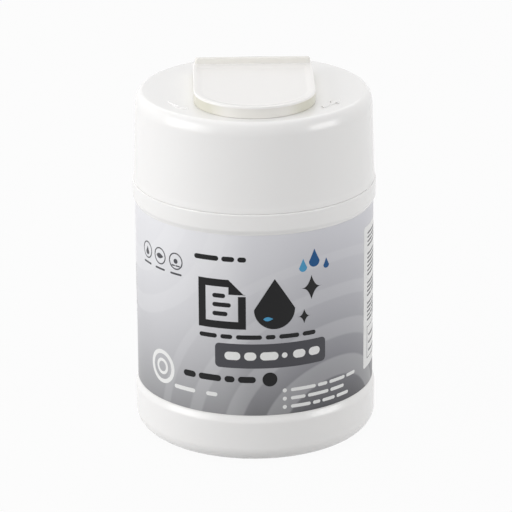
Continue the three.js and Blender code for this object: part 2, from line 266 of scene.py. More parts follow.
bottlePlastic = mouldedPolypropylene("bottlePolypropyleneMoulded", "#f4f3f2")
capPlastic = mouldedPolypropylene("capPolypropyleneMoulded", "#f5f4f3")
lidPlastic = mouldedPolypropylene(
    "lidPolypropyleneMoulded",
    "#f6f4f2",
    {
        # painted shade: this darker creamy colour shades the wall's lower corners and the rib
        "colour": "#d8d6c8",
        "across": (9, 17),
        "middleShadeShare": 0.3,
        "height": (lidHigh[2] - 2.9, lidHigh[2] - 3.4),
        "rib": (lidHigh[2] - 2.35, lidHigh[2] - 1.95),
        "ribShadeShare": 0.34,
    },
)

# bottle: foot, recessed panel, shoulder bead and threaded neck
bottle = {
    "panelInset": 0.4,  # bottle wall under the film, below the film's own face
    "endPlay": 0.06,
    "bandEase": 3.0,
    "beadEase": 2.0,
    "shoulderHeight": 7.7,
    "shoulderRound": 0.5,
    "footWide": 6.6,
    "footHigh": 6.0,
    "ringWidth": 4.8,
    "pushUp": 2.0,
    "wall": 1.5,
    "neckWall": 1.8,
    "neckRoot": 1.2,
    "lipRound": 0.5,
    "neckFillet": 3.0,
    "pushUpRun": 2.6,  # how far in from the foot ring the base has risen to its push-up
    "filmShort": 0.3,  # the film ends this far below the recess
    "gate": [(1.6, 2.05), (1.6, 1.75), (1.3, 1.5), (0.8, 1.35), (0.2, 1.3)],
}
thread = {
    "pitch": 5.0,
    "turns": 1.25,
    "depth": 1.5,
    "base": 2.6,
    "runOut": 24,
    "sunk": 0.4,
    "belowLip": 6.0,
    "drop": 2.1,  # how far the cap's ridge lies below the neck's
}
labelOuter, labelBottom, labelTop = labelHigh[0], labelLow[2], labelHigh[2] - bottle["filmShort"]
bandRadius, lipZ = bottleHigh[0], bottleHigh[2]
partingZ = labelTop + bottle["shoulderHeight"]
threadStartZ = lipZ - thread["belowLip"] - thread["pitch"] * thread["turns"]
neckRadius = sealHigh[0]


def makeBottle():
    b = bottle
    panelRadius = labelOuter - b["panelInset"]
    footFlat = bandRadius - b["footWide"]
    footInner = footFlat - b["ringWidth"]
    innerBand, innerPanel = bandRadius - b["wall"], panelRadius - b["wall"]
    neckBore = neckRadius - b["neckWall"]
    low, high = labelBottom - b["endPlay"], labelTop + b["endPlay"]
    centre, run, under = 0.4, b["pushUpRun"], partingZ - b["wall"]
    bead, root, lip, fillet = b["shoulderRound"], b["neckRoot"], b["lipRound"], b["neckFillet"]
    path = holdEdges([
        [centre, b["pushUp"]],
        ease(footInner - run, b["pushUp"], footInner, 0, 10),
        arc(footFlat, b["footHigh"], b["footWide"], b["footHigh"], -90, 0, 28),
        ease(bandRadius, low - b["bandEase"], labelOuter, low, 10),
        [panelRadius, low],
        [panelRadius, high],
        ease(labelOuter, high, bandRadius, high + b["beadEase"], 10),
        arc(bandRadius - bead, partingZ - bead, bead, bead, 0, 90, 8),
        arc(neckRadius + root, partingZ + root, root, root, 270, 180, 8),
        arc(neckRadius - lip, lipZ - lip, lip, lip, 0, 90, 6),
        arc(neckBore + lip, lipZ - lip, lip, lip, 90, 180, 6),
        arc(neckBore + fillet, under - fillet, fillet, fillet, 180, 90, 8),
        [innerPanel - 1, under - 0.4],
        [innerPanel, under - 2],
        [innerPanel, low - b["bandEase"]],
        ease(innerPanel, low - b["bandEase"], innerBand, low - 2 * b["bandEase"], 6),
        arc(footFlat, b["footHigh"], b["footWide"] - b["wall"], b["footHigh"] - b["wall"], 0, -90, 16),
        ease(footInner, b["wall"], footInner - run, b["pushUp"] + b["wall"], 8),
        [centre, b["pushUp"] + b["wall"]],
    ])
    wall = skinLoops(turn(path))
    # injection gate left under the middle of the base: a small drop-shaped button
    gate = skinLoops(turn(np.array(b["gate"]), 48)[::-1])
    ridge = helixRidge(neckRadius, threadStartZ, True, thread)
    shell = joinParts(wall, gate, ridge)
    makePiece("bottleShell", *shell, bottlePlastic, "canister_body", "bottle_white", ["bottle"])


makeBottle()
print("bottle made")


# label: a film sleeve, with print as plain fields and simple shapes on it
def printedFilm(name):
    # gloss-laminated polypropylene film: a clear face over silver-grey ink that darkens downwards
    material, tree = newMaterial(name)
    place = addNode(tree, "TexCoord").outputs["Object"]
    spot = addNode(tree, "UVMap", uv_map="filmPlace").outputs["UV"]
    upFilm = addNode(tree, "SeparateXYZ", links={"Vector": place}).outputs["Z"]
    ends = {"From Min": labelBottom * mm, "From Max": labelTop * mm}
    height = addNode(tree, "MapRange", ends, {"Value": upFilm}).outputs["Result"]
    acrossFilm = addNode(tree, "SeparateXYZ", links={"Vector": spot}).outputs["X"]
    unit = film["mapUnit"]
    halfWay = math.pi * labelOuter / unit
    spread = addNode(tree, "MapRange", {"From Min": -halfWay, "From Max": halfWay}, {"Value": acrossFilm})
    # painted light: the ink is mixed towards a pale colour on the left, more so higher up, for the light
    # falling on the film from the left
    paintedLightStops = [(position, (share, share, share, 1)) for position, share in film["paintedLight"]]
    inkStops = [(position, hexColour(colour)) for position, colour in film["inkStops"]]
    ramps = []
    for source, stops, curve in ((height, inkStops, "LINEAR"), (spread.outputs["Result"], paintedLightStops, "EASE")):
        ramp = addNode(tree, "ValToRGB", links={"Fac": source})
        ramp.color_ramp.interpolation = curve
        while len(ramp.color_ramp.elements) < len(stops):
            ramp.color_ramp.elements.new(0.5)
        for element, (position, colour) in zip(ramp.color_ramp.elements, stops):
            element.position, element.color = position, colour
        ramps.append(ramp.outputs["Color"])
    upward = addNode(tree, "MapRange", {"To Min": film["paintedLightLow"]}, {"Value": height}).outputs["Result"]
    paintedLightShare = addNode(tree, "Math", links={0: ramps[1], 1: upward}, operation="MULTIPLY").outputs[0]
    # this pale colour serves both the painted light and the print's pale ripples
    pale = {"B": hexColour(film["pale"])}
    links = {"Factor": paintedLightShare, "A": ramps[0]}
    printed = addNode(tree, "Mix", pale, links, data_type="RGBA").outputs["Result"]
    # broad pale ripples behind the print: soft rings about points on the unrolled film
    for centre, radius, width, strength in film["ripples"]:
        middle = {1: (centre[0] / unit, centre[1] / unit, 0)}
        gap = addNode(tree, "VectorMath", middle, {0: spot}, operation="DISTANCE").outputs["Value"]
        off = addNode(tree, "Math", {1: radius / unit}, {0: gap}, operation="SUBTRACT").outputs[0]
        distance = addNode(tree, "Math", links={0: off}, operation="ABSOLUTE").outputs[0]
        near, far = (width - film["rippleBlur"]) / unit, (width + film["rippleBlur"]) / unit
        edge = {"From Min": far, "From Max": near, "To Max": strength}
        soft = addNode(tree, "MapRange", edge, {"Value": distance}, interpolation_type="SMOOTHSTEP")
        links = {"Factor": soft.outputs["Result"], "A": printed}
        printed = addNode(tree, "Mix", pale, links, data_type="RGBA").outputs["Result"]
    # faint drawing marks of the film, about 2 mm apart round the bottle and long up it
    stretch = addNode(tree, "Mapping", {"Scale": (1.0, 1.0, 0.12)}, {"Vector": place})
    marks = addNode(tree, "TexNoise", {"Scale": 480.0, "Detail": 1.0}, {"Vector": stretch.outputs["Vector"]})
    bump = addNode(tree, "Bump", {"Strength": 0.06, "Distance": 0.00005}, {"Height": marks.outputs["Fac"]})
    links = {"Base Color": printed, "Normal": bump.outputs["Normal"]}
    shader = addNode(tree, "BsdfPrincipled", film["face"], links)
    addNode(tree, "OutputMaterial", links={"Surface": shader.outputs["BSDF"]})
    return material


film = {
    "mapUnit": 100,  # millimetres of film to one unit of its map
    "thickness": 0.25,
    "edgeRound": 0.08,
    "lapDeg": (86, 96),  # the welded lap at the back, from +X round to +Y
    "lapHeight": 0.12,
    "pale": "#f4f4f6",
    "face": {"Roughness": 0.36, "IOR": 1.42, "Coat Weight": 0.15, "Coat Roughness": 0.2, "Coat IOR": 1.5},
    # share of the height and ink colour there
    "inkStops": [(0.0, "#424247"), (0.27, "#86868c"), (0.55, "#b0b0b6"), (1.0, "#d6d6dc")],
    # share of the way round from the back and how much paler the ink is there, as painted light
    "paintedLight": [
        (0.0, 0.0), (0.12, 0.3), (0.27, 0.5), (0.36, 0.66),
        (0.45, 0.66), (0.5, 0.33), (0.6, 0.04), (1.0, 0.0),
    ],
    "paintedLightLow": 0.42,  # how much of the painted light is left at the lower edge
    "rippleBlur": 0.5,
    # centre across and up the unrolled film in mm, ring radius, half width, strength
    "ripples": [
        ((30, -12), 26, 3.6, 0.20),
        ((30, -12), 40, 3.0, 0.17),
        ((30, -12), 54, 2.4, 0.14),
        ((30, -12), 67, 1.8, 0.11),
        ((-58, 78), 30, 4.2, 0.20),
        ((-58, 78), 46, 3.2, 0.15),
        ((118, 20), 24, 3.4, 0.20),
        ((118, 20), 37, 2.7, 0.16),
    ],
}


def makeLabel():
    t, e = film["thickness"], film["edgeRound"]
    r = labelOuter
    path = holdEdges([
        arc(r - e, labelTop - e, e, e, 0, 90, 4),
        [r - t, labelTop],
        [r - t, labelBottom],
        arc(r - e, labelBottom + e, e, e, -90, 0, 4),
        [r, labelTop - e],
    ])[:-1]
    loops = turn(path)[::-1]
    sleeve = makePiece(
        "labelFilm", *skinLoops(loops, closed=True), printedFilm("gloss film printed silver grey"),
        "canister_body", "label_film", ["label_sleeve"],
    )
    place = sleeve.data.uv_layers.new(name="filmPlace")
    corners = np.empty(len(sleeve.data.loops), int)
    sleeve.data.loops.foreach_get("vertex_index", corners)
    points = np.empty(len(sleeve.data.vertices) * 3)
    sleeve.data.vertices.foreach_get("co", points)
    points = points.reshape(-1, 3)[corners] / mm
    # across = radius x angle from the front, zero at -Y, and up from the film's lower edge
    angle = np.arctan2(points[:, 0], -points[:, 1])
    # a face that crosses the back keeps both its sides on one end of the unrolled film
    faceOf = np.repeat(np.arange(len(angle) // 4), 4)
    wraps = (angle.reshape(-1, 4).max(1) - angle.reshape(-1, 4).min(1)) > np.pi
    angle = np.where(wraps[faceOf] & (angle < 0), angle + 2 * np.pi, angle)
    uv = np.stack([labelOuter * angle, points[:, 2] - labelBottom], 1) / film["mapUnit"]
    place.data.foreach_set("uv", uv.ravel())
    # welded lap at the back where the film's two ends meet
    lapAngle = np.radians(np.linspace(*film["lapDeg"], 14))
    lapZ = np.array([labelBottom + 0.1, labelTop - 0.1])
    inside, outside = r - 0.05, r + film["lapHeight"]
    rings = [
        np.stack([rr * np.cos(lapAngle), rr * np.sin(lapAngle), 0 * lapAngle + zz], -1)
        for rr, zz in ((inside, lapZ[0]), (inside, lapZ[1]), (outside, lapZ[1]), (outside, lapZ[0]))
    ]
    lap = skinLoops(np.stack(rings, 1))
    lapPiece = makePiece("labelLap", *lap, sleeve.data.materials[0], "canister_body", "label_film")
    lapUv = lapPiece.data.uv_layers.new(name="filmPlace")
    # all of it takes one plain spot of the film's colours
    lapUv.data.foreach_set("uv", np.full(len(lapPiece.data.loops) * 2, 1.2))


makeLabel()
print("label made")


def printInk(name, colour):
    # gravure ink under the same laminate as the film, so nearly as glossy
    material, tree = newMaterial(name)
    place = addNode(tree, "TexCoord").outputs["Object"]
    # ink laid down in cells about 0.4 mm apart, seen as a faint change of tone
    cells = addNode(tree, "TexNoise", {"Scale": 2500.0, "Detail": 1.0}, {"Vector": place}).outputs["Fac"]
    full = hexColour(colour)
    tones = {"A": full, "B": (*[part * printing["cellTone"] for part in full[:3]], 1.0)}
    tone = addNode(tree, "Mix", tones, {"Factor": cells}, data_type="RGBA")
    shader = addNode(tree, "BsdfPrincipled", printing["face"], {"Base Color": tone.outputs["Result"]})
    addNode(tree, "OutputMaterial", links={"Surface": shader.outputs["BSDF"]})
    return material


# print shapes: each is a strip of slices across the film, with a low and a high edge per slice
def barShape(x, y, width, height, radius=None):
    # a bar with round corners: the edge draws in by radius minus the circle's height near both ends
    radius = min(height / 2 if radius is None else radius, width / 2, height / 2)
    quarter = radius * (1 - np.cos(np.linspace(0, np.pi / 2, 7)))
    middle = np.linspace(radius, width - radius, max(2, int(width / 1.5)))
    across = np.unique(np.round(np.concatenate([quarter, middle, width - quarter]), 5))
    fromEnd = np.minimum(np.minimum(across, width - across), radius)
    drawIn = radius - halfChord(radius, radius - fromEnd)
    return x + across, y + drawIn, y + height - drawIn


def discShape(x, y, radius):
    across = -radius * np.cos(np.linspace(0, np.pi, 25))
    half = halfChord(radius, across)
    return x + across, y - half, y + half


def dropShape(x, y, radius, height):
    # a round foot drawn up to a point: below the middle a half circle, above it a curve that closes
    across = -radius * np.cos(np.linspace(0, np.pi, 33))
    low = y - halfChord(radius, across)
    part = np.abs(across) / radius
    high = y + (height - radius) * (1 - part) * (1 - 0.55 * part) + 0.9 * radius * part * (1 - part)
    return x + across, low, np.maximum(high, low)


def starShape(x, y, radius):
    # a four-pointed sparkle: the edge falls off as the power 3.2 of what is left
    across = np.linspace(-radius, radius, 41)
    half = radius * (1 - np.abs(across) / radius) ** 3.2
    return x + across, y - half, y + half


def leafShape(x, y, length, width):
    # two mirrored sine arches that meet in a point at both ends
    across = np.linspace(0, length, 25)
    half = width / 2 * np.sin(np.pi * (across / length) ** 0.8)
    return x + across, y - half, y + half


def ringShape(x, y, radius, width):
    # a ring in two halves, each from the inner circle to the outer one
    outer = -radius * np.cos(np.linspace(0, np.pi, 41))
    inner = radius - width
    outerHalf = halfChord(radius, outer)
    innerHalf = halfChord(inner, outer)
    return [(x + outer, y + innerHalf, y + outerHalf), (x + outer, y - outerHalf, y - innerHalf)]


def frameShape(x, y, width, height, line, radius=0.0):
    # an outline rectangle: two upright slices, and a low and a high strip between them
    ends = []
    for start in (0, width - line):
        across = start + np.linspace(0, line, 9)
        fromSide = np.minimum(across, width - across)
        draw = radius - halfChord(radius, np.maximum(radius - fromSide, 0))
        ends.append((x + across, y + draw, y + height - draw))
    middle = x + np.linspace(line, width - line, max(2, int(width)))
    level = 0 * middle + y
    return ends + [(middle, level, level + line), (middle, level + height - line, level + height)]


def sheetShape(x, y, width, height, line, fold):
    # a page outline with its upper right corner folded down: the top edge falls along the fold
    low = [(np.array([x, x + line]), np.array([y, y]), np.array([y + height, y + height]))]
    middle = x + np.linspace(line, width - line, 24)
    low.append((middle, 0 * middle + y, 0 * middle + y + line))
    topRun = x + np.linspace(line, width - fold, 12)
    low.append((topRun, 0 * topRun + y + height - line, 0 * topRun + y + height))
    right = np.array([x + width - line, x + width])
    low.append((right, right * 0 + y, right * 0 + y + height - fold))
    corner = np.linspace(0, fold, 9)
    edge = y + height - fold
    foldTop = np.maximum(y + height - corner, edge + 0.6)
    low.append((x + width - fold + corner, edge + 0 * corner + 0.6, foldTop))
    return low


def wrapShape(shape, level):
    # a thin closed slab of ink on the film. A slice at distance x from the front goes to the angle
    # x / radius, and its two edges go to their heights, at the film's face plus the ink's level.
    across, low, high = shape
    angle = across / labelOuter
    top, bottom = labelOuter + level, labelOuter - 0.02
    corners = [(top, low), (top, high), (bottom, high), (bottom, low)]
    loops = np.stack(
        [np.stack([r * np.sin(angle), -r * np.cos(angle), labelBottom + edge], -1) for r, edge in corners], 1
    )
    return skinLoops(loops)


# sizes on the unrolled film: x across from the front, y up from its lower edge
printing = {
    "level": 0.03,  # ink stands this far off the film, enough to show as a clean edge
    "cellTone": 0.93,
    "face": {"Roughness": 0.4, "IOR": 1.3, "Coat Weight": 0.1, "Coat Roughness": 0.2, "Coat IOR": 1.5},
    "inks": {
        "charcoal": "#101012",
        "mid grey": "#4b4b50",
        "opaque white": "#f1f1f0",
        "blue": "#145389",
        "pale blue": "#4f9dc8",
    },
    "blueDrops": [(20.5, 55.2, 2.1, 6.6), (25.4, 52.9, 1.2, 3.8)],  # x, y, radius, height
    "paleDrop": (16.2, 53.4, 1.5, 4.8),
    "page": (-21.0, 32.0, 17.0, 18.0, 2.7, 6.0),  # x, y, width, height, line, fold
    "pageBars": [(-15.8, 43.2, 4.6, 1.6), (-15.8, 39.9, 6.6, 1.6), (-15.8, 36.6, 5.4, 1.6)],
    "largeDrop": (6.0, 39.2, 7.2, 18.4),
    "dropShine": (2.0, 35.8, 3.4, 1.5),
    "sparkles": [(19.4, 45.8, 4.4), (16.6, 35.6, 2.6)],
    "darkDot": (4.2, 13.4, 2.6),
    "darkRows": [  # x, y, widths, height, gap
        (-20.8, 28.3, [6.5, 4.2, 9.0, 3.4, 7.2, 5.0], 1.6, 1.3),
        (-27.5, 12.2, [5.0, 8.4, 3.6, 6.2], 2.3, 1.2),
        (-22.5, 56.6, [9.0, 4.5, 3.0], 1.8, 1.1),
    ],
    "iconCentres": (-46.5, -38.5, -30.5),
    "iconRing": (53.6, 3.1, 0.45),  # y, radius, line
    "band": (-15, 17.6, 40, 9.0, 1.6),
    "bandRows": [(-11.6, 20.6, [5.6, 4.2, 6.4], 3.0, 1.3), (12.4, 20.6, [4.6, 4.4], 3.0, 1.3)],
    "bandDot": (9.4, 22.1, 1.0),
    "paleRows": [[9.5, 4.0, 7.5, 5.0], [5.5, 8.5, 6.5], [7.5, 3.0, 5.5, 6.0]],
    "rollRings": [(-38.0, 12.6, 6.2, 1.5), (-38.0, 12.6, 3.0, 1.1)],
    "rollBars": [(-31.8, 6.4, 9.0, 1.5), (-18.5, 6.4, 4.2, 1.5)],
    "stepSides": (-116.0, -97.0, -78.0),
    "infoPanel": (47, 7, 62, 53),
    "panelRows": 22,
    "panelBreaks": (4, 11, 16),
}


def rowOfBars(x, y, widths, height, gap):
    shapes = []
    for width in widths:
        shapes.append(barShape(x, y, width, height))
        x += width + gap
    return shapes


def makePrint():
    p = printing
    inks = {name: printInk("ink " + name + " under laminate", colour) for name, colour in p["inks"].items()}

    def piece(name, shapes, ink, layer=1):
        parts = joinParts(*[wrapShape(shape, layer * p["level"]) for shape in shapes])
        makePiece(name, *parts, inks[ink], "canister_body", "label_film", sharpAngle=30)

    # water drops in two blues at the top
    piece("printDropsBlue", [dropShape(*drop) for drop in p["blueDrops"]], "blue")
    piece("printDropsPale", [dropShape(*p["paleDrop"])], "pale blue")

    # main dark motif: a page with a folded corner, a large drop, sparkles and rows of plain bars
    dark = sheetShape(*p["page"]) + [barShape(*bar) for bar in p["pageBars"]]
    dark += [dropShape(*p["largeDrop"]), discShape(*p["darkDot"])]
    dark += [starShape(*star) for star in p["sparkles"]]
    for row in p["darkRows"]:
        dark += rowOfBars(*row)
    piece("printCharcoal", dark, "charcoal")
    piece("printDropShine", [leafShape(*p["dropShine"])], "pale blue", 2)

    # three ringed pictures: a drop, a leaf, and a dot over a line
    ringY, ringRadius, ringLine = p["iconRing"]
    first, second, third = p["iconCentres"]
    icons = [dropShape(first, ringY - 0.7, 1.1, 3.2), leafShape(second - 1.9, ringY, 3.8, 1.9)]
    icons += [discShape(third, ringY, 0.9), barShape(third - 1.9, ringY - 1.9, 3.8, 0.5)]
    for centre in p["iconCentres"]:
        icons += ringShape(centre, ringY, ringRadius, ringLine)
        icons.append(barShape(centre - 2.6, ringY - 5.0, 5.2, 0.7))
    piece("printPictograms", icons, "mid grey")

    # dark grey band with pale bars on it
    piece("printBand", [barShape(*p["band"])], "mid grey")
    onBand = [discShape(*p["bandDot"])]
    for row in p["bandRows"]:
        onBand += rowOfBars(*row)
    piece("printBandBars", onBand, "opaque white", 2)

    # pale bullets and lines at the lower right, and the end of a roll at the lower left
    pale = [half for ring in p["rollRings"] for half in ringShape(*ring)]
    pale += [barShape(*bar) for bar in p["rollBars"]]
    for row, widths in enumerate(p["paleRows"]):
        lineY = 8.3 - 3.1 * row
        pale += [discShape(9.4, lineY + 0.6, 0.75)] + rowOfBars(11.6, lineY, widths, 1.25, 0.9)
    x, y, width, height = p["infoPanel"]
    piece("printWhite", pale + [barShape(x, y, width, height, 1.0)], "opaque white")

    # three framed pictures with bars under them, round the left to the back
    steps = []
    for side in p["stepSides"]:
        steps += frameShape(side, 27, 15, 15, 0.5, 1.6) + rowOfBars(side + 1, 23.6, [6.0, 5.6], 0.9, 0.9)
        steps += rowOfBars(side + 1, 21.4, [4.4, 3.2], 0.9, 0.9)
    bottleX, cleanX, shineX = (side + 7.5 for side in p["stepSides"])
    steps += frameShape(bottleX - 3.1, 29.4, 6.2, 8.0, 0.7, 1.0)
    steps.append(barShape(bottleX - 2.5, 38.2, 5.0, 1.6, 0.6))
    steps += [barShape(cleanX - 4.1, 29.6, 8.2, 1.6, 0.5), leafShape(cleanX - 3.9, 33.6, 7.8, 2.6)]
    steps += [dropShape(cleanX, 37.2, 1.1, 3.2), starShape(shineX, 34.5, 3.0)]
    steps += ringShape(shineX, 34.5, 4.6, 0.8)
    piece("printSteps", steps, "mid grey")

    # information panel: rows of fine grey lines of uneven lengths, a plain grid below
    lines = []
    rng = np.random.default_rng(7)
    for row in range(p["panelRows"]):
        parts = rng.uniform(3, 11, 5)
        parts = parts * (width - 8 - 4 * 0.8) / parts.sum() * rng.uniform(0.82, 1.0)
        if row not in p["panelBreaks"]:
            lines += rowOfBars(x + 3.5, y + height - 3.2 - 1.55 * row, parts, 0.62, 0.8)
    lines += frameShape(x + 3.5, y + 3, 20, 12, 0.25) + frameShape(x + 27, y + 3, 30, 12, 0.25)
    for k in range(3):
        lines.append(barShape(x + 29, y + 5.2 + 2.9 * k, 26 - 5 * k, 0.7))
        lines.append(barShape(x + 5.2, y + 5.2 + 2.9 * k, 9 + 3 * k, 0.7))
    piece("printPanelLines", lines, "mid grey", 2)


makePrint()
print("label print made")

# screw cap: one closed skin from the star-cut hole out over the top, down the skirt and back inside
capRadius = capHigh[0]
cap = {
    "flare": 0.2,
    "flareHeight": 3.0,
    "draft": 0.8,
    "wall": 1.5,
    "plate": 1.6,
    "rimWide": 2.9,
    "rimHigh": 5.2,
    "innerRound": 2.0,
    "skirtEdge": 0.15,
    "seatDrop": 0.24,  # the skirt comes down this much nearer to the bottle's shoulder
    "outletY": -10.0,
    "wellRadius": 13.0,
    "wellDepth": 2.6,
    "wellWall": 1.3,
    "wellEdge": 0.5,
    "floor": 1.2,
    "crown": 0.8,
    "hole": 4.2,
    "slits": 6,
    "slitWidth": 1.0,
    "slitReach": 9.0,
    "wellFoot": 0.35,
    "wellTaper": 0.8,
    "threadSunk": 0.25,
    "sealPlay": 0.3,
    "lidGap": 0.3,
}
capTopZ = sealHigh[2] + cap["sealPlay"] + cap["plate"]
skirtZ = capLow[2] - cap["seatDrop"]
capTopRadius = capRadius - cap["flare"] - cap["draft"]
capFlat = capTopRadius - cap["rimWide"]


def starOutline(columns):
    # the dispensing hole's edge: petal tips on a circle, and between them slits with straight sides
    # and round ends. Each slit takes the same run of points: tip arc, side out, end arc, side back.
    share = columns // cap["slits"]
    half = cap["slitWidth"] / 2
    tipHalf = math.pi / cap["slits"] - math.asin(half / cap["hole"])
    tipCount, sideCount, endCount = share - 26, 9, 8
    points = []
    for k in range(cap["slits"]):
        middle = 2 * np.pi * k / cap["slits"]
        tip = middle + np.linspace(-tipHalf, tipHalf, tipCount)
        points.append(np.stack([cap["hole"] * np.cos(tip), cap["hole"] * np.sin(tip)], 1))
        slit = middle + np.pi / cap["slits"]
        along = np.array([math.cos(slit), math.sin(slit)])
        across = np.array([-along[1], along[0]])
        start = math.sqrt(cap["hole"] ** 2 - half**2)
        reach = np.linspace(start, cap["slitReach"] - half, sideCount + 1)[1:]
        points.append(reach[:, None] * along - half * across)
        turned = np.linspace(-np.pi / 2, np.pi / 2, endCount + 2)[1:-1]
        centre = (cap["slitReach"] - half) * along
        points.append(centre + half * (np.cos(turned)[:, None] * along + np.sin(turned)[:, None] * across))
        points.append(reach[::-1][:, None] * along + half * across)
    outline = np.concatenate(points)
    return outline, 2 * np.pi * (np.arange(len(outline)) - (tipCount - 1) / 2) / len(outline)


def makeCap():
    c = cap
    outline, angle = starOutline(around)
    direction = np.stack([np.cos(angle), np.sin(angle)], 1)
    centre = np.array([0.0, c["outletY"]])
    floorZ = capTopZ - c["wellDepth"]

    def crowned(points, under):
        # the floor rises to its middle as a shallow cosine dome
        part = np.clip(np.hypot(points[:, 0], points[:, 1]) / c["wellRadius"], 0, 1)
        z = floorZ - under + c["crown"] * (1 + np.cos(np.pi * part)) / 2
        return np.concatenate([points + centre, z[:, None]], 1)

    def wellLoop(radius, z):
        return atHeight(centre + radius * direction, z)

    def capLoop(radius, z):
        return atHeight(radius * direction, z)

    def between(first, second, parts):
        return [first + (second - first) * part for part in parts]

    edge, e = c["wellEdge"], c["wellFoot"]
    rounded = outline * (1 + 0.12 / np.hypot(outline[:, 0], outline[:, 1]))[:, None]
    loops = [crowned(outline, c["floor"] - 0.1), crowned(outline, 0.12), crowned(rounded, 0.0)]
    foot = c["wellRadius"] - e
    for part in (0.08, 0.3, 0.6, 0.85, 1.0):
        loops.append(crowned(rounded + (foot * direction - rounded) * part, 0.0))
    for a in (0.5, 1.0, 1.57):
        loops.append(wellLoop(c["wellRadius"] - e + e * math.sin(a), floorZ + e - e * math.cos(a)))
    loops += [wellLoop(r, z) for r, z in arc(c["wellRadius"] + edge, capTopZ - edge, edge, edge, 180, 90, 6)]
    rimStart = capLoop(capFlat, capTopZ)
    wellEnd = loops[-1]
    loops += between(wellEnd, rimStart, (0.012, 0.35, 0.7, 0.988))
    innerTop = capTopRadius - c["wall"]
    innerBottom = capRadius - c["flare"] - c["wall"]
    underZ = capTopZ - c["plate"]
    outer = holdEdges([
        arc(capFlat, capTopZ - c["rimHigh"], c["rimWide"], c["rimHigh"], 90, 0, 24),
        ease(capRadius - c["flare"], skirtZ + c["flareHeight"], capRadius, skirtZ + c["skirtEdge"], 6),
        arc(capRadius - c["skirtEdge"], skirtZ + c["skirtEdge"], c["skirtEdge"], c["skirtEdge"], 0, -90, 5),
        [innerBottom + 0.3, skirtZ],
        [innerBottom, skirtZ + 0.3],
        arc(innerTop - c["innerRound"], underZ - c["innerRound"], c["innerRound"], c["innerRound"], 0, 90, 8),
    ])
    loops += [capLoop(r, z) for r, z in outer]
    wellOuter = c["wellRadius"] + c["wellWall"]
    loops += between(loops[-1], wellLoop(wellOuter, underZ), (0.01, 0.5, 0.99, 1.0))
    last = wellLoop(wellOuter - c["wellTaper"], floorZ - c["floor"])
    loops += [wellLoop(wellOuter, floorZ - 0.4), last]
    under = crowned(outline, c["floor"])
    for part in (0.15, 0.5, 0.85):
        flatPoints = (last + (under - last) * part)[:, :2] - centre
        loops.append(crowned(flatPoints, c["floor"]))
    loops.append(under)
    skin = skinLoops(np.array(loops)[::-1], closed=True)
    ridge = helixRidge(innerTop + c["threadSunk"], threadStartZ - thread["drop"], False, thread)
    shell = joinParts(skin, ridge, *capLugs())
    makePiece("capShell", *shell, capPlastic, "cap", "cap_white", ["screw_cap"])


hinge = {
    "barrel": 1.4,
    "pin": 0.75,
    "pinPlay": 0.09,
    "mouth": 1.1,
    "lugWidth": 4.0,
    "foot": 2.2,
    "lugInset": 7.5,
    "sidePlay": 0.3,
    "heelSlope": 12,
}
lidBottomZ, lidHalf, lidRear = capTopZ + cap["lidGap"], lidHigh[0], lidHigh[1]
hingeY, hingeZ = lidRear - hinge["barrel"], lidBottomZ + hinge["barrel"]
lugX = lidHalf - hinge["lugInset"]


def beamX(outline, fromX, toX, bevel=0.12):
    # a closed outline in Y and Z carried along X, with its two ends drawn in by a small bevel.
    # The drawn-in copy shrinks the outline about its middle.
    outline = np.asarray(outline, float)
    middle = outline.mean(0)
    size = np.abs(outline - middle).max()
    small = middle + (outline - middle) * (1 - bevel / size)
    stations = [(fromX, small), (fromX + bevel, outline), (toX - bevel, outline), (toX, small)]
    loops = [np.concatenate([np.full((len(o), 1), x), o], 1) for x, o in stations]
    return skinLoops(np.array(loops))


def capLugs():
    # each lug: a foot up to the eye, the eye's outside round to the snap mouth, and back round its bore
    h = hinge
    mouthOut = math.degrees(math.asin(h["mouth"] / 2 / h["barrel"]))
    boreRadius = h["pin"] + h["pinPlay"]
    mouthIn = math.degrees(math.asin(h["mouth"] / 2 / boreRadius))
    footDeg = math.degrees(math.asin(h["foot"] / 2 / h["barrel"]))
    outline = np.concatenate([
        [[hingeY - h["foot"] / 2, capTopZ - 0.5], [hingeY + h["foot"] / 2, capTopZ - 0.5]],
        arc(hingeY, hingeZ, h["barrel"], h["barrel"], -90 + footDeg, 90 - mouthOut, 20),
        arc(hingeY, hingeZ, boreRadius, boreRadius, 90 - mouthIn, -270 + mouthIn, 24),
        arc(hingeY, hingeZ, h["barrel"], h["barrel"], 90 + mouthOut, 270 - footDeg, 20),
    ])
    lugs = []
    for side in (-1, 1):
        x = side * lugX
        vertices, faces = beamX(outline, x - h["lugWidth"] / 2, x + h["lugWidth"] / 2, 0.001)
        lugs.append(flatEnded(vertices, faces, len(outline)))
    return lugs


def flatEnded(vertices, faces, count):
    # swaps the fans at both ends for one polygon each, which an outline with a mouth needs
    kept = [face for face in faces if len(face) == 4]
    last = len(vertices) - 2 - count
    kept.append(tuple(range(count - 1, -1, -1)))
    kept.append(tuple(range(last, last + count)))
    return vertices[:-2], kept


makeCap()


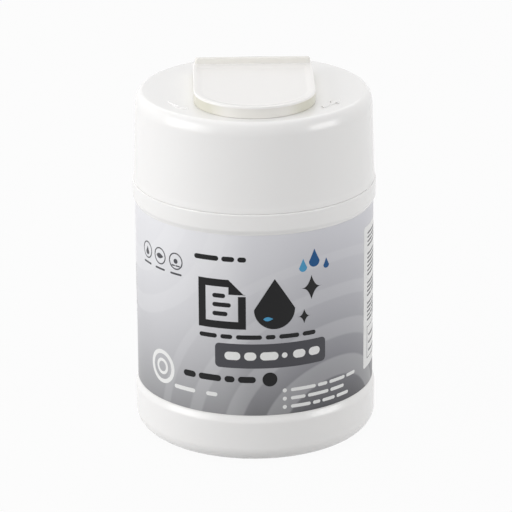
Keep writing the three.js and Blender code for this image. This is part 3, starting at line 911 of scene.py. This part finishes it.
def makeArrow(name, middleDeg, direction):
    # a raised turning arrow on the cap's top: a band along a circle, whose half width is constant
    # over the shaft, wider at the head's back and falls to nothing at its tip.
    a = arrow
    reach = a["length"] / a["radius"] / 2
    part = np.concatenate([np.linspace(0, 0.62, 14), [0.621], np.linspace(0.64, 1.0, 10)])
    half = np.where(part <= 0.62, a["shaft"] / 2, a["head"] / 2 * (1 - part) / 0.379)
    half = np.maximum(half, 0.06)
    angle = math.radians(middleDeg) + direction * reach * (2 * part - 1)
    section = [(-1.0, -0.2, 0), (-1.0, a["height"] - 0.12, 0), (-1.0, a["height"], 0.12),
               (1.0, a["height"], -0.12), (1.0, a["height"] - 0.12, 0), (1.0, -0.2, 0)]
    loops = []
    for side, z, draw in section:
        r = a["radius"] + side * half + draw * np.minimum(half / 0.4, 1)
        loops.append(np.stack([r * np.cos(angle), r * np.sin(angle), 0 * r + capTopZ + z], -1))
    loops = np.stack(loops, 1)
    if direction > 0:
        loops = loops[:, ::-1]
    makePiece(name, *skinLoops(loops), capPlastic, "cap", "cap_white", sharpAngle=30)


arrow = {"radius": 33.2, "length": 10.5, "shaft": 1.2, "head": 3.6, "height": 0.45}
makeArrow("capArrowLeft", -143, 1)
makeArrow("capArrowRight", -37, 1)
print("cap made")

# flip lid: half-round front, straight sides, dished top, heel with the hinge barrel, and the rib
lid = {
    "frontMargin": 2.7,
    "height": 3.9,
    "plate": 1.3,
    "wall": 1.4,
    "edge": 0.45,
    "heelEdge": 0.25,
    "lowEdge": 0.1,
    "seatDrop": 0.24,  # the front and sides of the wall come down this much nearer to the cap
    "rearWall": 1.2,
    "dishFrom": 0.8,
    "dishTo": 3.4,
    "dishDepth": 0.4,
    "dishRear": 4.2,  # how far in front of the rear edge the dish starts
    "ribHalf": 20.35,
    "ribThickness": 1.6,
    "ribRound": 0.4,
    "ribEnd": 1.1,
    "plugPlay": 0.35,
    "plugWall": 1.0,
    "plugShort": 0.6,
}
lidTopZ, ribTopZ = lidBottomZ + lid["height"], lidHigh[2]
lidArcY = lidHalf + lid["frontMargin"] - capFlat
notchHalf = hinge["lugWidth"] / 2 + hinge["sidePlay"]
notchReach = hinge["barrel"] + hinge["sidePlay"]


def heelBack(z):
    # the heel's back: a sloping line that touches the hinge barrel, and below it the barrel's circle
    slope = math.radians(hinge["heelSlope"])
    below = max(hingeZ - z, 0)
    if below > 0:
        return hingeY + math.sqrt(max(hinge["barrel"] ** 2 - below**2, 0))
    return hingeY + hinge["barrel"] / math.cos(slope) - (z - hingeZ) * math.tan(slope)


def lidLoop(inset, z, rearY, notched=False):
    # the lid's outline drawn in by an inset: half circle in front, straight sides, straight rear,
    # and where it is notched the rear steps in round both hinge lugs
    half = lidHalf - inset
    front = arc(0, lidArcY, half, half, 180, 360, 120)
    side = np.linspace(lidArcY, rearY, 26)[1:-1]
    right = np.stack([0 * side + half, side], 1)
    inner, outer, step = lugX - notchHalf, lugX + notchHalf, 0.02
    rightRear = np.concatenate([
        np.linspace(half, outer + step, 5), np.linspace(outer, inner, 6), np.linspace(inner - step, 0.5, 12),
    ])
    rear = np.concatenate([rightRear, [0], -rightRear[::-1]])
    inNotch = np.abs(np.abs(rear) - lugX) < notchHalf + step / 2
    rearPath = np.where(inNotch & notched, hingeY - notchReach, rearY)
    left = right[::-1] * [-1, 1]
    outline = np.concatenate([front, right, np.stack([rear, rearPath], 1), left])
    return atHeight(outline, z)


def lidTray():
    l = lid
    centre = np.array([0.0, cap["outletY"]])
    top = lidLoop(l["edge"], lidTopZ, heelBack(lidTopZ) - l["heelEdge"])
    # the dish: its edge is the lid's own outline drawn in, and its depth a smooth step over the inset
    loops, rearTop = [], heelBack(lidTopZ) - l["ribThickness"] - 0.35
    deep = lidLoop(l["dishTo"], lidTopZ - l["dishDepth"], rearTop - l["dishRear"])
    for part in (0.02, 0.2, 0.4, 0.6, 0.8, 0.95):
        flat = centre + (deep[:, :2] - centre) * part
        loops.append(np.concatenate([flat, deep[:, 2:]], 1))
    for part in np.linspace(0, 1, 12):
        inset = l["dishTo"] + (l["dishFrom"] - l["dishTo"]) * part
        step = smooth(part)
        rearInset = l["dishRear"] * (1 - part) + 0.3 * part
        loops.append(lidLoop(inset, lidTopZ - l["dishDepth"] * (1 - step), rearTop - rearInset))
    rim = loops[-1]
    loops += [rim + (top - rim) * part for part in (0.25, 0.9)]
    for kept, z in arc(0, lidTopZ - l["edge"], 1, l["edge"], 90, 0, 8):
        loops.append(lidLoop(l["edge"] * (1 - kept), z, heelBack(z) - l["heelEdge"] * (1 - kept)))
    notchTop = hingeZ + notchReach
    wallZ = lidTopZ - l["edge"]
    loops += [lidLoop(0, z, heelBack(z)) for z in (wallZ - 0.15, notchTop + 0.01)]
    loops += [lidLoop(0, z, heelBack(z), True) for z in (notchTop - 0.01, hingeZ)]
    for turned in np.radians([15, 30, 45, 57, 66, 74, 82, 90]):
        z = hingeZ - hinge["barrel"] * math.sin(turned)
        # the wall's low edge draws in as a quarter of an ellipse
        near = max(0, 1 - (z - lidBottomZ) / l["lowEdge"])
        loop = lidLoop(l["lowEdge"] * (1 - math.sqrt(1 - near**2)), z, heelBack(z), True)
        loop[:, 2] -= seatDrop(loop[:, 1]) * math.sin(turned)
        loops.append(loop)
    innerRear = hingeY - notchReach - l["rearWall"]
    mouth = lidLoop(l["wall"], lidBottomZ, innerRear)
    mouth[:, 2] -= seatDrop(mouth[:, 1])
    loops += [mouth, lidLoop(l["wall"], lidTopZ - l["plate"] - 0.3, innerRear)]
    loops += [lidLoop(l["wall"] + 0.3, lidTopZ - l["plate"], innerRear - 0.3)]
    inner = loops[-1]
    middle = np.append(centre, lidTopZ - l["plate"])
    loops += [middle + (inner - middle) * part for part in (0.95, 0.5, 0.02)]
    return skinLoops(np.array(loops)[::-1])


def seatDrop(y):
    # a smooth step from nothing at the hinge to the full drop 7 mm in front of it
    part = np.clip((hingeY - 3 - y) / 4, 0, 1)
    return lid["seatDrop"] * smooth(part)


def lidPins():
    pin = arc(hingeY, hingeZ, hinge["pin"], hinge["pin"], 0, 360, 32)[:-1]
    reach = notchHalf + 0.6
    return [beamX(pin, side * lugX - reach, side * lugX + reach) for side in (-1, 1)]


def lidRib():
    # the upright rib: a rounded section in Y and Z carried along X. Its ends are round in plan, each
    # station's depth following a circle, and round in elevation, its height following an ellipse.
    l = lid
    backTop = heelBack(ribTopZ)
    front = backTop - l["ribThickness"]
    e, low, slope = l["ribRound"], lidTopZ - 0.5, hinge["heelSlope"]
    foot = np.linspace(0, 1, 6)[:, None]
    # a small concave foot where the rib meets the lid's top
    footPath = np.concatenate([front - 0.35 * (1 - foot) ** 2, lidTopZ - 0.05 + 0.4 * foot], 1)
    section = np.concatenate([
        [[front - 0.35, low], [heelBack(low) - 0.3, low], [heelBack(lidTopZ) - 0.03, lidTopZ - 0.05]],
        arc(backTop - e, ribTopZ - e, e, e, slope, 90, 6),
        arc(front + e, ribTopZ - e, e, e, 90, 180, 6),
        footPath[::-1],
    ])
    middle = (front + backTop) / 2
    turned = np.radians(np.linspace(0, 90, 12))
    xs = -l["ribHalf"] + l["ribEnd"] * (1 - np.cos(turned))
    shares = np.maximum(np.sin(turned), 0.03)
    left = list(zip(xs, shares))
    loops = []
    for x, share in left + [(-x, share) for x, share in left[::-1]]:
        y = middle + (section[:, 0] - middle) * share
        z = low + (section[:, 1] - low) * (1 - l["ribEnd"] * (1 - share) / (ribTopZ - low))
        loops.append(np.stack([np.full(len(section), x), y, z], 1))
    return skinLoops(np.array(loops))


def lidPlug():
    outer = cap["wellRadius"] - lid["plugPlay"]
    low, high = capTopZ - cap["wellDepth"] + lid["plugShort"], lidTopZ - lid["plate"] + 0.2
    w = lid["plugWall"]
    path = np.concatenate([
        [[outer - w, high], [outer - w, low + 0.3]],
        arc(outer - w / 2, low + w / 2, w / 2, w / 2, 180, 360, 10),
        [[outer, low + 0.8], [outer, high]],
    ])
    return skinLoops(turn(path, 160, (0, cap["outletY"])), closed=True)


lidParts = joinParts(lidTray(), *lidPins(), lidRib(), lidPlug())
makePiece("lidShell", *lidParts, lidPlastic, "lid", "lid_white", ["flip_lid"])
print("lid made")


# sealing ring: foamed polyethylene, matt with fine closed cells
def foamedRing(name):
    material, tree = newMaterial(name)
    place = addNode(tree, "TexCoord")
    # cells about 0.4 mm across
    cells = addNode(tree, "TexVoronoi", {"Scale": 2500.0}, {"Vector": place.outputs["Object"]})
    bump = addNode(
        tree, "Bump", {"Strength": 0.35, "Distance": 0.0001}, {"Height": cells.outputs["Distance"]}
    )
    shader = addNode(
        tree,
        "BsdfPrincipled",
        {"Base Color": hexColour("#e9ebeb"), "Roughness": 0.75, "IOR": 1.5},
        {"Normal": bump.outputs["Normal"]},
    )
    addNode(tree, "OutputMaterial", links={"Surface": shader.outputs["BSDF"]})
    return material


def makeSeal():
    inner, outer = neckRadius - bottle["neckWall"] - 0.6, sealHigh[0]
    e, low, high = 0.2, sealLow[2], sealHigh[2]
    path = np.concatenate([
        arc(outer - e, high - e, e, e, 0, 90, 4), arc(inner + e, high - e, e, e, 90, 180, 4),
        arc(inner + e, low + e, e, e, 180, 270, 4), arc(outer - e, low + e, e, e, 270, 360, 4),
    ])
    loops = turn(path)[::-1]
    makePiece(
        "sealRing", *skinLoops(loops, closed=True), foamedRing("foamedPolyethyleneDieCut"),
        "seal_carrier", "seal_foam", ["sealing_ring"],
    )


makeSeal()


# roll of wipes: hydro-entangled non-woven, moist, so matt with a faint wet sheen
def moistNonWoven(name):
    material, tree = newMaterial(name)
    place = addNode(tree, "TexCoord")
    # fibre bundles of the entangled web, about 1 mm apart and drawn out along the height
    stretch = addNode(tree, "Mapping", {"Scale": (1.0, 1.0, 0.35)}, {"Vector": place.outputs["Object"]})
    grain = {"Scale": 1000.0, "Detail": 4.0, "Distortion": 0.6}
    fibres = addNode(tree, "TexNoise", grain, {"Vector": stretch.outputs["Vector"]})
    tone = addNode(
        tree,
        "Mix",
        {"A": hexColour("#e6eaea"), "B": hexColour("#fafbfb")},
        {"Factor": fibres.outputs["Fac"]},
        data_type="RGBA",
    )
    bump = addNode(tree, "Bump", {"Strength": 0.5, "Distance": 0.00015}, {"Height": fibres.outputs["Fac"]})
    shader = addNode(
        tree,
        "BsdfPrincipled",
        {"Roughness": 0.7, "IOR": 1.4, "Sheen Weight": 0.2, "Sheen Roughness": 0.4},
        {"Base Color": tone.outputs["Result"], "Normal": bump.outputs["Normal"]},
    )
    addNode(tree, "OutputMaterial", links={"Surface": shader.outputs["BSDF"]})
    return material


roll = {"turns": 17, "core": 14.0, "perTurn": 72, "gap": 0.25, "wobble": 0.22}


def makeRoll():
    # the wound strip: an Archimedean spiral, r = core + pitch x turns, wavy by a slow sine, with a
    # rounded section that stands a little higher or lower from turn to turn.
    low, high = rollLow[2], rollHigh[2]
    outer = min(rollHigh[0], rollHigh[1], -rollLow[0], -rollLow[1])
    pitch = (outer - roll["core"]) / (roll["turns"] + 1)
    steps = roll["turns"] * roll["perTurn"]
    turned = 2 * np.pi * np.arange(steps + 1) / roll["perTurn"]
    wave = roll["wobble"] * np.sin(5 * turned * 1.03) * np.sin(0.37 * turned)
    middle = roll["core"] + pitch * turned / (2 * np.pi) + pitch / 2 + wave * 0.5
    half = pitch / 2 - roll["gap"] / 2
    lift = 0.5 * (1 + np.sin(turned * 0.61) * np.cos(turned * 0.23))
    section = [(1, 0.35), (1, 0.98), (0.6, 1.0), (-0.6, 1.0), (-1, 0.98)]
    section += [(-1, 0.02), (-0.6, 0.0), (0.6, 0.0), (1, 0.02)]
    loops = []
    for side, up in section:
        r = middle + side * half
        z = low + (high - low) * up - lift * (0.6 if up > 0.5 else 0)
        loops.append(np.stack([r * np.cos(turned), r * np.sin(turned), z + 0 * r], -1))
    spiral = skinLoops(np.stack(loops, 1)[:, ::-1])
    # the turns lie against each other below the ends, which one inner wall stands for
    inside = np.array([
        [roll["core"] + pitch, low + 4], [outer - 2 * pitch, low + 4],
        [outer - 2 * pitch, high - 4], [roll["core"] + pitch, high - 4],
    ])
    packed = skinLoops(turn(inside, 96), closed=True)
    makePiece(
        "wipesRoll", *joinParts(spiral, packed), moistNonWoven("moistNonWovenWound"),
        "canister_body", "wipe_cloth", ["wipes_roll"], sharpAngle=60,
    )


makeRoll()
print("seal and roll made")

# camera, from a perspective fit to the photograph
cameraFit = {
    "scale": 42.0,  # label radius in mm, the fit's own unit
    "back": 25.135,
    "up": 10.669,
    "yawDeg": 0.027,
    "pitchDeg": 20.096,
    "rollDeg": -0.333,
    "focalPixels": 3167.0,
    "framePixels": 512,
    "sensor": 36.0,
    "aroundDeg": -1.2,  # the lid and cap stand turned by this much in the photograph
}


def makeCamera():
    c = cameraFit
    yaw, pitch, rollAngle = (math.radians(c[k]) for k in ("yawDeg", "pitchDeg", "rollDeg"))
    forward = Vector((math.sin(yaw) * math.cos(pitch), math.cos(yaw) * math.cos(pitch), -math.sin(pitch)))
    right = Vector((math.cos(yaw), -math.sin(yaw), 0))
    up = right.cross(forward)
    rolledRight = math.cos(rollAngle) * right + math.sin(rollAngle) * up
    rolledUp = -math.sin(rollAngle) * right + math.cos(rollAngle) * up
    place = Vector((0, -c["back"] * c["scale"] * mm, c["up"] * c["scale"] * mm))
    axes = Matrix((rolledRight, rolledUp, -forward)).transposed().to_4x4()
    camera = addObject("camera", bpy.data.cameras.new("camera"))
    standRound = Matrix.Rotation(math.radians(c["aroundDeg"]), 4, "Z")
    camera.matrix_world = standRound @ Matrix.Translation(place) @ axes
    camera.data.sensor_width = c["sensor"]
    camera.data.lens = c["focalPixels"] * c["sensor"] / c["framePixels"]
    camera.data.clip_end = 20
    bpy.context.scene.camera = camera


makeCamera()


# floor, world and lamps
def seenRays(tree):
    # 1 for what the camera, reflections and clear materials see, 0 for light that falls on the canister
    path = addNode(tree, "LightPath")
    seen = path.outputs["Is Camera Ray"]
    for other in ("Is Glossy Ray", "Is Transmission Ray"):
        links = {0: seen, 1: path.outputs[other]}
        seen = addNode(tree, "Math", links=links, operation="MAXIMUM").outputs[0]
    return seen


def makeFloor():
    material, tree = newMaterial("studioFloorPale")
    diffuse = addNode(tree, "BsdfDiffuse", {"Color": hexColour(lighting["floorColour"])})
    white = addNode(tree, "Emission", {"Color": (1, 1, 1, 1), "Strength": 1.0})
    share = addNode(tree, "Math", {1: lighting["floorWhite"]}, {0: seenRays(tree)}, operation="MULTIPLY")
    links = {0: share.outputs[0], 1: diffuse.outputs["BSDF"], 2: white.outputs["Emission"]}
    mixed = addNode(tree, "MixShader", links=links)
    addNode(tree, "OutputMaterial", links={"Surface": mixed.outputs[0]})
    mesh = bpy.data.meshes.new("studioFloor")
    size = lighting["floorHalf"]
    corners = [(-size, -size, 0), (size, -size, 0), (size, size, 0), (-size, size, 0)]
    mesh.from_pydata(corners, [], [(0, 1, 2, 3)])
    mesh.materials.append(material)
    floor = addObject("studioFloor", mesh)


def makeWorld():
    world = bpy.data.worlds.new("studioWorld")
    world.use_nodes = True
    tree = world.node_tree
    tree.nodes.clear()
    ambient = addNode(tree, "Background", {"Color": (1, 1, 1, 1), "Strength": lighting["ambient"]})
    white = addNode(tree, "Background", {"Color": (1, 1, 1, 1), "Strength": 1.0})
    links = {0: seenRays(tree), 1: ambient.outputs["Background"], 2: white.outputs["Background"]}
    mixed = addNode(tree, "MixShader", links=links)
    addNode(tree, "OutputWorld", links={"Surface": mixed.outputs[0]})
    bpy.context.scene.world = world


def makeLamp(name, azimuth, elevation, distance, wide, high, power):
    # an oblong soft box that faces the middle of the canister, azimuth 0 in front and + to the right
    target = Vector(lighting["aim"])
    a, e = math.radians(azimuth), math.radians(elevation)
    offset = Vector((math.sin(a) * math.cos(e), -math.cos(a) * math.cos(e), math.sin(e))) * distance
    data = bpy.data.lights.new(name, "AREA")
    data.shape, data.size, data.size_y, data.energy = "RECTANGLE", wide, high, power
    lamp = addObject(name, data)
    lamp.location = target + offset
    lamp.rotation_euler = (-offset).to_track_quat("-Z", "Y").to_euler()


lighting = {
    "ambient": 0.35,
    "floorColour": "#bcbcbc",
    "floorWhite": 0.95,  # how much of the floor's white is plain, the rest takes the canister's shadow
    "floorHalf": 3.0,
    "aim": (0, 0, 0.065),
    # azimuth, elevation, distance, width, height in metres, power in watts
    "lamps": {
        "leftFront": (-52, 10, 1.3, 0.4, 1.0, 3.2),
        "leftSide": (-74, 10, 1.3, 0.7, 1.0, 9.2),
        "rightFront": (68, 8, 1.3, 0.7, 0.55, 6.0),
        "overhead": (-90, 84, 1.3, 1.7, 1.5, 6.8),
        "back": (180, 45, 1.3, 1.4, 0.7, 3.4),
    },
}
makeFloor()
makeWorld()
for lampName, values in lighting["lamps"].items():
    makeLamp(lampName, *values)

bpy.context.scene.view_settings.view_transform = "Standard"
print("scene made")
